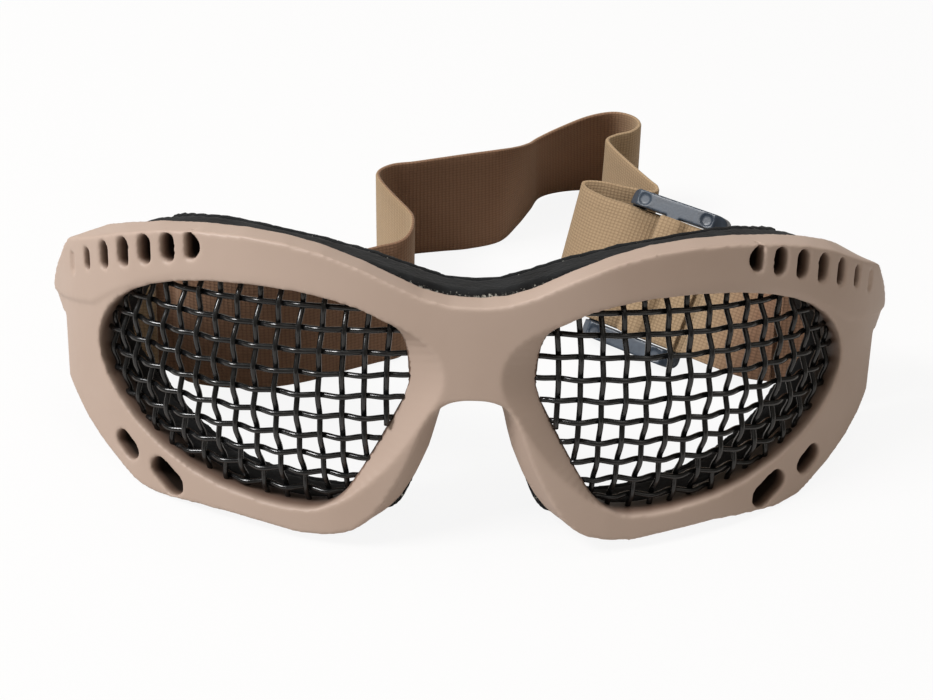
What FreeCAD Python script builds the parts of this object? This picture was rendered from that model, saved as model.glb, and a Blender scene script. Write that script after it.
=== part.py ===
import FreeCAD, Part
import math
import os

V = FreeCAD.Vector

# Wire mesh goggles on an elastic strap, in millimetres.
# The eyewear is drawn upright: x across the face, the front towards -Y and z up.
# It is then leaned back onto the table, where the loose strap stands on its edge.

# Moulded frame
half_width = 98.0
wrap_depth = 66.0
brow_rise = 18.0
rim_drop = 45.0
shell_wall = 8.0
side_step = 0.7
block_reach = 51.5
block_top_reach = 38.0
block_drop = 8.5
block_tip = 5.5
block_nose = 4.0
side_reach = 43.0
side_corner = 5.0
low_side_reach = 38.0
foot_drop = 48.5

# Lens openings and nose
lens_turn = 22.4
nose_half_gap = 12.2
lens_side_margin = 17.0
lens_rise = 8.0
lens_drop = 40.0
funnel_depth = 5.6
funnel_width = 9.5
funnel_start = 31.0
nose_bevel = 4.2
nose_bevel_depth = 6.0

# Brow vents and lower slots
vent_count = 6
vent_width = 3.5
vent_height = 6.5
vent_side_margin = 40.7
vent_pitch = 6.2
vent_level = 14.3
vent_step_down = 1.0
vent_curve_down = 0.13
dent_depth = 0.7
slot_width = 5.1
slot_length = 9.0
slot_tilt = 38.0

# Woven wire lenses
wire = 1.05
wire_sides = 6
mesh_pitch = 4.6
weave_play = 0.12
mesh_edge_play = 0.12
mesh_inset = 0.4
mesh_level = -14.0
mesh_crown_across = 11.0
mesh_crown_up = 4.2
mesh_half_height = 23.5

# Foam gasket and its soft face
foam_thick = 8.5
foam_reach = 44.0
lining_thick = 2.2
lining_inset = 0.3
eye_margin = 0.4
glue_gap = 0.05

# Side lugs
lug_thick = 4.0
lug_inset = 10.6
lug_reach = 58.0
lug_root = 41.0
lug_level = -13.0
lug_end = 2.0
lug_corner = 5.0
lug_bar = 4.5
lug_relief = 2.2
strap_slot = 4.4
strap_slot_play = 1.0

# Elastic strap
strap_width = 30.0
strap_thick = 1.1
layer_gap = 0.15
loop_play = 0.35
loop_apex = 7.0
tail_length = 12.5
left_tail_turn = -4.0
right_tail_turn = 8.0
hinge_gap = 0.8
run_end_gap = 1.2
lay_depth = 100.0
lay_steps = 5

# Slide on the strap
slide_length = 26.0
slide_rail = 4.0
slide_bar = 3.4
slide_bar_thick = 1.5
slide_play = 0.35
slide_corner = 2.0
slide_mark = 1.5
slide_mark_spread = 8.5
slide_flat = 10.4
slide_mark_deep = 0.3
slide_back = 21.1
slide_travel = 12.0
run_turn = 35.0
run_lean = 35.5
run_margin = 1.0
sewn_tail = 12.0
sewn_apex = 4.6

# Stance
lean_back = 16.0
overrun = 30.0
hair = 0.01
outline_play = 0.12
curve_steps = 3

# Worked out from the sizes above
lens_span = (half_width - lens_side_margin - nose_half_gap) / math.cos(math.radians(lens_turn))
mesh_middle = lens_span / 2
mesh_half_span = lens_span / 2 + mesh_edge_play
lug_half = strap_width / 2 + strap_slot_play + lug_end


# Outlines, as shares of half_width across and of brow_rise up or rim_drop down
brow_top_shares = (
    (0.0, 0.36), (0.09, 0.42), (0.17, 0.6), (0.25, 0.78), (0.33, 0.91), (0.42, 0.985),
    (0.5, 1.0), (0.6, 0.965), (0.7, 0.87), (0.79, 0.7), (0.87, 0.47), (0.94, 0.31), (1.04, 0.22),
)
brow_low_shares = (
    (1.04, -0.19), (0.96, -0.185), (0.89, -0.15), (0.82, -0.045), (0.74, 0.175), (0.66, 0.37),
    (0.57, 0.5), (0.48, 0.525), (0.39, 0.5), (0.3, 0.42),
)
rim_low_shares = (
    (1.03, -0.3), (0.985, -0.39), (0.934, -0.52), (0.898, -0.636), (0.857, -0.729),
    (0.811, -0.813), (0.765, -0.889), (0.73, -0.936), (0.689, -0.953), (0.612, -0.951),
    (0.51, -0.958), (0.429, -0.98), (0.357, -1.0), (0.29, -0.992), (0.222, -0.945),
    (0.167, -0.868), (0.127, -0.752), (0.0965, -0.615), (0.0765, -0.482), (0.0665, -0.385),
    (0.054, -0.325), (0.031, -0.298), (0.0, -0.291),
)
foam_top_shares = (
    (0.0, 0.42), (0.07, 0.46), (0.14, 0.59), (0.22, 0.71), (0.31, 0.81), (0.42, 0.89),
    (0.5, 0.925), (0.585, 0.91), (0.65, 0.84), (0.7, 0.77), (0.78, 0.59), (0.86, 0.36),
    (0.95, 0.1), (1.04, -0.05),
)
foam_low_shares = (
    (1.04, -0.2), (0.985, -0.37), (0.934, -0.5), (0.898, -0.61), (0.857, -0.7), (0.811, -0.785),
    (0.765, -0.86), (0.73, -0.905), (0.689, -0.925), (0.612, -0.925), (0.51, -0.932),
    (0.429, -0.953), (0.357, -0.972), (0.296, -0.965), (0.24, -0.95), (0.19, -0.93),
    (0.157, -0.9), (0.134, -0.825), (0.112, -0.705), (0.097, -0.6), (0.083, -0.46), (0.071, -0.36),
    (0.05, -0.3), (0.026, -0.278), (0.0, -0.275),
)
# The lens opening, as shares of lens_span across and of lens_rise up or lens_drop down
lens_shares = (
    (0.031, -0.237), (0.036, -0.1), (0.052, 0.1), (0.108, 0.5), (0.197, 0.775), (0.304, 0.95),
    (0.417, 1.0), (0.545, 0.96), (0.685, 0.775), (0.813, 0.41), (0.911, -0.02), (0.973, -0.145),
    (1.0, -0.29), (0.981, -0.44), (0.926, -0.57), (0.87, -0.66), (0.786, -0.76), (0.687, -0.85),
    (0.605, -0.907), (0.51, -0.95), (0.417, -0.978), (0.33, -0.99), (0.25, -0.97),
    (0.208, -0.915), (0.165, -0.8), (0.116, -0.625), (0.063, -0.425),
)
# Nose side of the opening from its top to its bottom, and how far the funnel opens there
funnel_shares = (
    (1.0, 0.7, 0.0), (0.76, 0.46, 0.36), (0.6, 0.18, 0.67), (0.518, -0.05, 0.905),
    (0.488, -0.16, 1.0), (0.493, -0.28, 0.985), (0.538, -0.4, 0.89), (0.605, -0.53, 0.8),
    (0.678, -0.65, 0.735), (0.752, -0.76, 0.65), (0.822, -0.86, 0.45), (1.0, -0.96, 0.0),
)
vent_width_shares = (1.02, 1.0, 1.0, 0.93, 0.76, 0.58)
vent_height_shares = (0.86, 0.96, 1.0, 1.0, 0.96, 0.8)
# Lower slots: place across and down, then length and width
slot_shares = ((0.765, -0.752, 0.84, 0.93), (0.666, -0.85, 1.1, 1.05))

# Strap lay: shares of half_width across and of lay_depth behind the lugs, then the lift of its
# lower edge and its lean across and back as shares of strap_width
left_lay_shares = (
    (-0.675, -0.03, 0.08, 0.0, 0.25), (-0.58, -0.042, 0.03, 0.0, 0.16),
    (-0.48, -0.034, 0.01, 0.0, 0.12), (-0.388, 0.0, 0.003, 0.0, 0.14),
    (-0.3, 0.055, 0.0, 0.0, 0.2), (-0.225, 0.094, 0.0, 0.0, 0.22),
    (-0.17, 0.122, 0.0, 0.0, 0.24), (-0.144, 0.17, 0.0, 0.0, 0.22), (-0.139, 0.235, 0.0, 0.0, 0.18),
    (-0.151, 0.285, 0.0, 0.0, 0.1), (-0.192, 0.37, 0.0, 0.0, 0.02),
    (-0.227, 0.45, 0.0, 0.0, -0.04),
)
back_lay_shares = (
    (-0.235, 0.5, 0.0, 0.0, -0.08), (-0.204, 0.538, 0.0, 0.0, -0.1),
    (-0.15, 0.555, 0.0, 0.0, -0.11), (-0.08, 0.575, 0.0, -0.02, -0.09),
    (0.0, 0.598, 0.0, -0.03, -0.06), (0.083, 0.632, 0.0, -0.04, -0.1),
    (0.133, 0.69, 0.0, -0.05, -0.28), (0.17, 0.755, 0.0, -0.066, -0.44),
    (0.2, 0.815, 0.0, -0.073, -0.54), (0.262, 0.86, 0.0, -0.086, -0.48),
    (0.345, 0.893, 0.0, -0.092, -0.34),
)
fold_lay_shares = (
    (0.412, 0.892, 0.0, -0.08, -0.22), (0.455, 0.856, 0.0, -0.06, -0.14),
    (0.466, 0.805, 0.0, -0.04, -0.08), (0.44, 0.76, 0.0, -0.02, -0.04),
    (0.396, 0.733, 0.0, 0.0, 0.0), (0.366, 0.703, 0.0, 0.0, 0.0),
    (0.369, 0.664, 0.0, 0.01, 0.01), (0.391, 0.605, 0.0, 0.02, 0.02),
    (0.422, 0.535, 0.0, 0.03, 0.03), (0.452, 0.47, 0.0, 0.04, 0.04),
    (0.466, 0.438, 0.0, 0.05, 0.05), (0.455, 0.418, 0.0, 0.06, 0.05),
    (0.39, 0.43, 0.01, 0.09, 0.06), (0.315, 0.445, 0.02, 0.15, 0.13),
    (0.262, 0.436, 0.03, 0.2, 0.22), (0.255, 0.405, 0.04, 0.24, 0.3),
    (0.272, 0.366, 0.07, 0.3, 0.4), (0.302, 0.325, 0.11, 0.36, 0.5),
)
slide_across_share = 0.464


def smooth(points, closed=False, count=0):
    """Close-set points along a smooth line through the given ones."""
    spline = Part.BSplineCurve()
    spline.interpolate(points, PeriodicFlag=closed)
    edge = spline.toShape()
    found = edge.discretize(Number=count) if count else edge.discretize(Deflection=outline_play)
    return found[:-1] if closed else found


def filled(ring):
    """The flat face inside a ring of points."""
    return Part.Face(Part.makePolygon(ring + [ring[0]]))


def faceted(rings):
    """A solid through rings of equally many points, its sides in flat triangles."""
    count = len(rings[0])
    sides = []
    for near, far in zip(rings, rings[1:]):
        for n in range(count):
            after = (n + 1) % count
            sides.append([near[n], near[after], far[after]])
            sides.append([near[n], far[after], far[n]])
    shell = Part.Shell([filled(ring) for ring in sides + [rings[0], rings[-1]]])
    shell.sewShape()
    solid = Part.Solid(shell)
    return solid if solid.Volume > 0 else solid.reversed()


def flat_point(share):
    """A point of a front outline, in the upright x-z plane."""
    across, up = share
    return V(across * half_width, 0, up * (brow_rise if up > 0 else rim_drop))


def mirrored(points):
    """The points of one half, run on from the other side."""
    left = [V(-p.x, p.y, p.z) for p in reversed(points) if p.x > 0]
    return left + list(points)


def both_sides(shapes):
    """The shapes and their mirror images."""
    return list(shapes) + [s.mirror(V(0, 0, 0), V(1, 0, 0)) for s in shapes]


def outline_prism(top_shares, low_shares):
    """Everything inside a front outline, through the whole depth."""
    top = mirrored([flat_point(s) for s in top_shares])
    low = mirrored([flat_point(s) for s in reversed(low_shares)])
    face = filled(smooth(top) + smooth(low)[::-1])
    face.translate(V(0, -overrun, 0))
    return face.extrude(V(0, overrun + wrap_depth, 0))


def wrap_solid(half_across, inset):
    """The space behind one wrapped surface, set in from the front by inset."""
    foot = -rim_drop - overrun
    oval = Part.Ellipse(V(0, wrap_depth, foot), half_across - inset, wrap_depth - inset)
    face = Part.Face(Part.Wire(oval.toShape()))
    return face.extrude(V(0, 0, brow_rise + overrun - foot))


def wrap_y(x):
    """How far back the wrapped front surface lies at x."""
    share = x / half_width
    return wrap_depth - wrap_depth * math.sqrt(1 - share * share)


def wrap_slope(x):
    share = x / half_width
    return wrap_depth / half_width * share / math.sqrt(1 - share * share)


def lug_x():
    """The outer face of the right lug."""
    return half_width - lug_inset


def side_limit():
    """What the frame keeps in side view: the temple blocks reach further back than the rims."""
    high = brow_rise + overrun
    rise = math.tan(math.radians(lean_back))
    points = [
        V(0, -overrun, high), V(0, block_top_reach, high), V(0, block_top_reach, block_drop),
        V(0, block_reach, -block_tip), V(0, block_reach - block_nose / 2, -block_drop),
        V(0, side_reach, -block_drop - block_nose / 2),
        V(0, side_reach, lug_level - lug_half + side_corner), V(0, low_side_reach, rise * low_side_reach - foot_drop),
        V(0, -overrun, -foot_drop - rise * overrun),
    ]
    face = filled(points)
    face.translate(V(-half_width - overrun, 0, 0))
    return face.extrude(V(2 * (half_width + overrun), 0, 0))


def brow_band_prism():
    """The front outline of the brow band, with the bridge and the nose side of the rims."""
    top = [flat_point(s) for s in brow_top_shares]
    low = [flat_point(s) for s in brow_low_shares]
    inner = low[-1]
    foot = -rim_drop - overrun
    edge = smooth(low)
    ring = smooth(mirrored(top)) + edge + [V(inner.x, 0, foot), V(-inner.x, 0, foot)]
    face = filled(ring + [V(-p.x, 0, p.z) for p in reversed(edge)])
    face.translate(V(0, -overrun, 0))
    return face.extrude(V(0, overrun + wrap_depth, 0))


def lens_axes():
    """Origin, across and outward directions of the right lens opening."""
    turn = math.radians(lens_turn)
    origin = V(nose_half_gap, wrap_y(nose_half_gap), 0)
    return origin, V(math.cos(turn), math.sin(turn), 0), V(math.sin(turn), -math.cos(turn), 0)


def lens_point(across, up, out):
    """A place in the right lens opening: along it, up and outwards."""
    origin, along, outward = lens_axes()
    return origin + along * across + outward * out + V(0, 0, up)


def lens_outline():
    """The opening's outline as (across, up) pairs."""
    return [(a * lens_span, u * (lens_rise if u > 0 else lens_drop)) for a, u in lens_shares]


def spread(pairs, by):
    """A closed outline moved outwards by a distance, or inwards if it is negative."""
    moved = []
    for k, (a, u) in enumerate(pairs):
        before = pairs[k - 1]
        after = pairs[(k + 1) % len(pairs)]
        da, du = after[0] - before[0], after[1] - before[1]
        size = math.hypot(da, du)
        moved.append((a - by * du / size, u + by * da / size))
    return moved


def lens_prism(margin=0.0):
    """The straight throat of the right lens opening, or a wider one behind it."""
    outline = spread(lens_outline(), margin) if margin else lens_outline()
    face = filled(smooth([lens_point(a, u, overrun) for a, u in outline], closed=True))
    return face.extrude(lens_axes()[2] * -(2 * overrun + lens_span / 2))


def funnel():
    """The bevel that falls from the nose crest into the right opening."""
    loops = []
    reach = (funnel_depth + nose_bevel) / funnel_depth
    for depth, opened in ((funnel_depth, 0.0), (-nose_bevel, reach)):
        points = []
        for across, up, wide in funnel_shares:
            x = across * funnel_start - wide * funnel_width * opened
            points.append(V(x, depth, up * (lens_rise if up > 0 else lens_drop)))
        loops.append(smooth(points, count=curve_steps * len(points)))
    return faceted(loops)


def nose_cut():
    """The bevelled wall beside the nose, wider at the front than behind."""
    arch = [flat_point(s) for s in rim_low_shares if s[0] * half_width < funnel_start]
    foot = -rim_drop - overrun
    loops = []
    for depth, wide in ((nose_bevel_depth, 0.0), (-nose_bevel_depth, 2 * nose_bevel)):
        half = []
        for p in reversed(arch):
            fade = min(p.x / nose_bevel, (p.z + rim_drop) / nose_bevel, 2) / 2
            half.append(V(p.x + wide * max(fade, 0), depth, p.z))
        loop = mirrored(half)
        ring = smooth(loop, count=curve_steps * len(loop))
        loops.append(ring + [V(loop[-1].x, depth, foot), V(loop[0].x, depth, foot)])
    return faceted(loops)


def rounded(start, middle, end):
    """Close-set points along an arc."""
    return Part.Arc(start, middle, end).toShape().discretize(Deflection=outline_play / 2)


def obround(length, width, depth):
    """A slot-shaped block along z, centred, cut along y."""
    half = (length - width) / 2
    r = width / 2
    top = rounded(V(-r, 0, half), V(0, 0, half + r), V(r, 0, half))
    low = rounded(V(r, 0, -half), V(0, 0, -half - r), V(-r, 0, -half))
    face = filled(top + low)
    face.translate(V(0, -depth / 2, 0))
    return face.extrude(V(0, depth, 0))


def half_moon(length, width, depth):
    """The first vent: straight towards the temple and round towards the nose."""
    face = filled(rounded(V(width / 2, 0, length / 2), V(-width / 2, 0, 0), V(width / 2, 0, -length / 2)))
    face.translate(V(0, -depth / 2, 0))
    return face.extrude(V(0, depth, 0))


def on_wrap(cutter, x, z, tilt=0.0):
    """Set a cutter on the front surface at x, z, square to it."""
    cutter = cutter.copy()
    cutter.rotate(V(0, 0, 0), V(0, 1, 0), tilt)
    cutter.rotate(V(0, 0, 0), V(0, 0, 1), math.degrees(math.atan(wrap_slope(x))))
    cutter.translate(V(x, wrap_y(x), z))
    return cutter


def vent_places():
    """Vent centres (x, z), stepped along the wrapped brow."""
    places = []
    x = half_width - vent_side_margin
    for k in range(vent_count + 1):
        places.append((x, vent_level - vent_step_down * k - vent_curve_down * k * k))
        x += vent_pitch / math.hypot(1, wrap_slope(x))
    return places


def brow_cuts():
    """Vents, the shallow dent beside them and the lower slots, for the right side."""
    places = vent_places()
    depth = 3 * shell_wall
    cuts = []
    for k in range(vent_count):
        high = vent_height * vent_height_shares[k]
        wide = vent_width * vent_width_shares[k]
        shape = half_moon(high, wide, depth) if k == 0 else obround(high, wide, depth)
        cuts.append(on_wrap(shape, *places[k]))
    high = vent_height * vent_height_shares[-1]
    cuts.append(on_wrap(obround(high, wide, 2 * dent_depth), *places[vent_count]))
    for across, down, long_share, wide_share in slot_shares:
        shape = obround(slot_length * long_share, slot_width * wide_share, depth)
        cuts.append(on_wrap(shape, across * half_width, down * rim_drop, 90 - slot_tilt))
    return cuts


def lug():
    """The right side lug, with the window that takes the strap."""
    plate = Part.makeBox(lug_thick, lug_reach - lug_root, 2 * lug_half)
    plate.translate(V(lug_x() - lug_thick, lug_root, lug_level - lug_half))
    rear = []
    for e in plate.Edges:
        if abs(e.CenterOfMass.y - lug_reach) < hair and abs(e.Length - lug_thick) < hair:
            rear.append(e)
    plate = plate.makeFillet(lug_corner, rear)
    tall = strap_width + 2 * strap_slot_play
    middle = lug_middle()
    window = Part.makeBox(4 * lug_thick, strap_slot, tall)
    window.translate(V(middle.x - 2 * lug_thick, lug_reach - lug_bar - strap_slot, middle.z - tall / 2))
    return plate.cut(window)


def lug_middle():
    """The middle of the right lug's rear bar."""
    return V(lug_x() - lug_thick / 2, lug_reach - lug_bar / 2, lug_level)


def frame_shell():
    """The wrapped shell within its outline, with the brow band proud of the rims."""
    inner = wrap_solid(half_width, shell_wall)
    outline = outline_prism(brow_top_shares, rim_low_shares)
    rim = wrap_solid(half_width - side_step, 0.0).cut(inner).common(outline)
    band = wrap_solid(half_width, 0.0).cut(inner).common(outline).common(brow_band_prism())
    shell = rim.fuse(band).common(side_limit()).removeSplitter()
    return shell.cut(nose_cut())


def strap_relief():
    """Room round the right lug's rear bar, cut from the temple block, for the strap."""
    tall = strap_width + 2 * strap_slot_play
    room = Part.makeBox(lug_thick + lug_relief, overrun, tall)
    inner = lug_x() - lug_thick
    room.translate(V(inner, lug_reach - lug_bar - strap_slot, lug_middle().z - tall / 2))
    return room


def frame():
    """The one-piece moulded frame."""
    shell = frame_shell()
    for cutter in both_sides([lens_prism(), funnel(), strap_relief()] + brow_cuts()):
        shell = shell.cut(cutter)
    return shell.fuse(both_sides([lug()])).removeSplitter()


def mesh_arc(half, crown):
    """Radius of an arc with this half chord and crown."""
    return (half * half + crown * crown) / (2 * crown)


def mesh_place(across, up):
    """A point of the right lens's domed middle surface, and its outward normal."""
    round_across = mesh_arc(mesh_half_span, mesh_crown_across)
    round_up = mesh_arc(mesh_half_height, mesh_crown_up)
    a, b = across - mesh_middle, up - mesh_level
    root_a = math.sqrt(round_across ** 2 - a * a)
    root_b = math.sqrt(round_up ** 2 - b * b)
    out = lens_crest() - mesh_inset - (round_across - root_a) - (round_up - root_b)
    origin, along, outward = lens_axes()
    normal = along * (a / root_a) + V(0, 0, b / root_b) + outward
    return lens_point(across, up, out), normal.normalize()


def lens_crest():
    """How far the frame's wrapped front stands out at the middle of the opening."""
    low, high = 0.0, wrap_depth / 2
    for step in range(40):
        out = (low + high) / 2
        p = lens_point(mesh_middle, 0.0, out)
        if p.y > wrap_y(p.x):
            low = out
        else:
            high = out
    return low


def mesh_steps(middle, radius, low, high):
    """Wire places at an even pitch along the dome."""
    count = int(lens_span / mesh_pitch)
    places = []
    for k in range(-count, count + 1):
        turn = k * mesh_pitch / radius
        if abs(turn) < math.pi / 2:
            place = middle + radius * math.sin(turn)
            if low < place < high:
                places.append((k, place))
    return places


def crossings(outline, place, which):
    """Where a straight line at one place enters and leaves an outline."""
    found = []
    for k, p in enumerate(outline):
        q = outline[(k + 1) % len(outline)]
        if (p[which] - place) * (q[which] - place) < 0:
            share = (place - p[which]) / (q[which] - p[which])
            found.append(p[1 - which] + share * (q[1 - which] - p[1 - which]))
    return (min(found), max(found)) if len(found) > 1 else (0.0, 0.0)


def wire_room():
    """The outline that wire centres keep within, as (across, up) pairs."""
    ring = smooth([V(a, u, 0) for a, u in lens_outline()], closed=True)
    return spread([(p.x, p.y) for p in ring], -(wire / 2 + mesh_edge_play))


def crimped_wire(fixed, cross_places, ends, which):
    """One crimped wire: over one crossing and under the next, between its two ends."""
    swing = (wire + weave_play) / 2
    stops = []
    inside = [c for c in cross_places if ends[0] + wire / 2 < c[1] < ends[1] - wire / 2]
    for k, place in inside:
        side = 1 if (k + fixed[0]) % 2 == 0 else -1
        stops.append((place, side * swing * (1 if which else -1)))
    if len(stops) < 2:
        return None
    for end, near in ((ends[0], stops[0]), (ends[1], stops[-1])):
        past = min(abs(end - near[0]) / mesh_pitch, 1)
        stop = (end, near[1] * (1 - 2 * past))
        stops = [stop] + stops if end < near[0] else stops + [stop]
    loops = []
    for place, lift in stops:
        across, up = (place, fixed[1]) if which == 0 else (fixed[1], place)
        spot, normal = mesh_place(across, up)
        heading = lens_axes()[1] if which == 0 else V(0, 0, 1)
        side = normal.cross(heading).normalize()
        ring = []
        for n in range(wire_sides):
            turn = 2 * math.pi * n / wire_sides
            ring.append(spot + normal * (lift + math.sin(turn) * wire / 2) + side * (math.cos(turn) * wire / 2))
        loops.append(Part.makePolygon(ring + [ring[0]]))
    return Part.makeLoft(loops, True, True)


def mesh_wires(which):
    """The wires of the right lens along one direction: 0 for across, 1 for up."""
    room = wire_room()
    low = min(p[1 - which] for p in room)
    high = max(p[1 - which] for p in room)
    round_across = mesh_arc(mesh_half_span, mesh_crown_across)
    round_up = mesh_arc(mesh_half_height, mesh_crown_up)
    columns = mesh_steps(mesh_middle, round_across, -lens_span, 2 * lens_span)
    rows = mesh_steps(mesh_level, round_up, -2 * lens_drop, lens_drop)
    wires = []
    for fixed in (rows if which == 0 else columns):
        if low + wire / 2 < fixed[1] < high - wire / 2:
            ends = crossings(room, fixed[1], 1 - which)
            shape = crimped_wire(fixed, columns if which == 0 else rows, ends, which)
            if shape:
                wires.append(shape)
    return Part.makeCompound(wires)


def gasket_layer(front, thick, inset):
    """One layer of the gasket behind the shell, open at both eyes."""
    layer = wrap_solid(half_width, front).cut(wrap_solid(half_width, front + thick))
    layer = layer.common(outline_prism(foam_top_shares, foam_low_shares)).common(side_limit())
    reach = Part.makeBox(4 * half_width, foam_reach - inset + overrun, 4 * half_width)
    reach.translate(V(-2 * half_width, -overrun, -2 * half_width))
    layer = layer.common(reach)
    for cutter in both_sides([lens_prism(eye_margin + inset)]):
        layer = layer.cut(cutter)
    return layer


def face_foam():
    """The thick foam gasket glued behind the frame."""
    return gasket_layer(shell_wall + glue_gap, foam_thick, 0.0)


def face_lining():
    """The softer face layer on the foam."""
    return gasket_layer(shell_wall + foam_thick + 2 * glue_gap, lining_thick, lining_inset)


def band_profile(points, thick):
    """A flat band of even thickness along a path of (along, across) points, as a face."""
    left, right = [], []
    for k, p in enumerate(points):
        before = points[max(k - 1, 0)]
        after = points[min(k + 1, len(points) - 1)]
        one = V(p[0] - before[0], p[1] - before[1], 0)
        two = V(after[0] - p[0], after[1] - p[1], 0)
        one = two if k == 0 else one
        two = one if k == len(points) - 1 else two
        one = V(one).normalize()
        two = V(two).normalize()
        mid = (one + two).normalize()
        reach = thick / 2 / (mid * one)
        side = V(-mid.y, mid.x, 0) * reach
        spot = V(p[0], p[1], 0)
        left.append(spot + side)
        right.append(spot - side)
    return filled(left + right[::-1])


def layer_shift():
    """How far each of two stacked strap layers lies from their middle."""
    return (strap_thick + layer_gap) / 2


def lug_loop(turn):
    """The strap's end round the left lug's bar, its tail towards +X, upright."""
    off = layer_shift()
    wide = lug_thick / 2 + loop_play + strap_thick / 2
    deep = lug_bar / 2 + loop_play + strap_thick / 2
    ease = loop_play * 1.5
    half = [
        (tail_length, off), (loop_apex, off), (wide, deep), (ease - wide, deep), (-wide, deep - ease),
    ]
    path = half + [(a, -b) for a, b in reversed(half)]
    loop = band_profile(path, strap_thick)
    loop.translate(V(0, 0, -strap_width / 2))
    loop = loop.extrude(V(0, 0, strap_width))
    loop.rotate(V(0, 0, 0), V(0, 0, 1), turn)
    middle = lug_middle()
    loop.translate(V(-middle.x, middle.y, middle.z))
    return loop


def tail_end(turn, side):
    """Upright place of a tail's end, side -1 for the left lug."""
    middle = lug_middle()
    angle = math.radians(turn)
    inward = middle.x - tail_length * math.cos(angle)
    return V(side * inward, middle.y + tail_length * math.sin(angle), middle.z)


class Stance:
    """Leans the upright eyewear back and stands it on the table."""

    def __init__(self, standing):
        self.lift = 0.0
        low = min(self.lean(s).optimalBoundingBox(False).ZMin for s in standing)
        self.lift = -low

    def lean(self, shape):
        moved = shape.copy()
        moved.rotate(V(0, 0, 0), V(1, 0, 0), -lean_back)
        moved.translate(V(0, 0, self.lift))
        return moved

    def point(self, p):
        turn = math.radians(lean_back)
        y = p.y * math.cos(turn) + p.z * math.sin(turn)
        z = p.z * math.cos(turn) - p.y * math.sin(turn)
        return V(p.x, y, z + self.lift)

    def upright(self):
        """The upright direction, leaned."""
        turn = math.radians(lean_back)
        return V(0, math.sin(turn), math.cos(turn))


def lay_section(share, lug_y):
    """Middle and width direction of the strap at one place of its lay."""
    across, back, lift, lean_across, lean_rear = share
    wide = V(lean_across, lean_rear, 1).normalize()
    height = lift * strap_width + wide.z * strap_width / 2
    height += strap_thick * math.hypot(lean_across, lean_rear)
    return V(across * half_width, lug_y + back * lay_depth, height), wide


def run_frame():
    """Directions of the straight run by the slide: along it, up its width, out of its face."""
    turn, lean = math.radians(run_turn), math.radians(run_lean)
    along = V(math.cos(turn), -math.sin(turn), 0)
    flat = V(math.sin(turn), math.cos(turn), 0)
    wide = flat * math.sin(lean) + V(0, 0, math.cos(lean))
    return along, wide, along.cross(wide)


def slide_levels():
    """Heights over the running strap's middle: rear bars, sewn layer, raised bar, its loop."""
    half = strap_thick / 2
    rear = -half - slide_play - slide_bar_thick
    sewn = 2 * layer_shift()
    bar = sewn + half + slide_play
    return rear, sewn, bar, bar + slide_bar_thick + slide_play + half


def slide_middle(lug_y):
    """The middle of the running strap inside the slide."""
    along, wide, out = run_frame()
    half = strap_width / 2 + slide_play + slide_rail
    height = half * wide.z - slide_levels()[0] * out.z
    return V(slide_across_share * half_width, lug_y + slide_back, height)


def blend_sections(sections, steps):
    """Sections filled in with smooth steps between them."""
    filled = []
    last = len(sections) - 1
    for k in range(last):
        four = [sections[max(k - 1, 0)], sections[k], sections[k + 1], sections[min(k + 2, last)]]
        for n in range(steps):
            t = n / steps
            parts = []
            for which in (0, 1):
                a, b, c, d = (s[which] for s in four)
                bend = (c - a) * t + (a * 2 - b * 5 + c * 4 - d) * t ** 2
                parts.append(b + (bend + (b * 3 - a - c * 3 + d) * t ** 3) / 2)
            filled.append((parts[0], parts[1].normalize()))
    return filled + [sections[-1]]


def headings(sections):
    """The strap's direction at each section, square to its width."""
    found = []
    for k, (spot, wide) in enumerate(sections):
        before = sections[max(k - 1, 0)][0]
        after = sections[min(k + 1, len(sections) - 1)][0]
        along = after - before
        along = along - wide * (along * wide)
        found.append(along.normalize())
    return found


def ribbon(sections, along, shift=0.0):
    """A strap stretch through sections, moved out of its face by shift."""
    loops = []
    for (spot, wide), heading in zip(sections, along):
        out = heading.cross(wide).normalize()
        ring = []
        for up, thick in ((-1, -1), (1, -1), (1, 1), (-1, 1)):
            ring.append(spot + wide * (up * strap_width / 2) + out * (shift + thick * strap_thick / 2))
        loops.append(ring)
    return faceted(loops)


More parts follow.
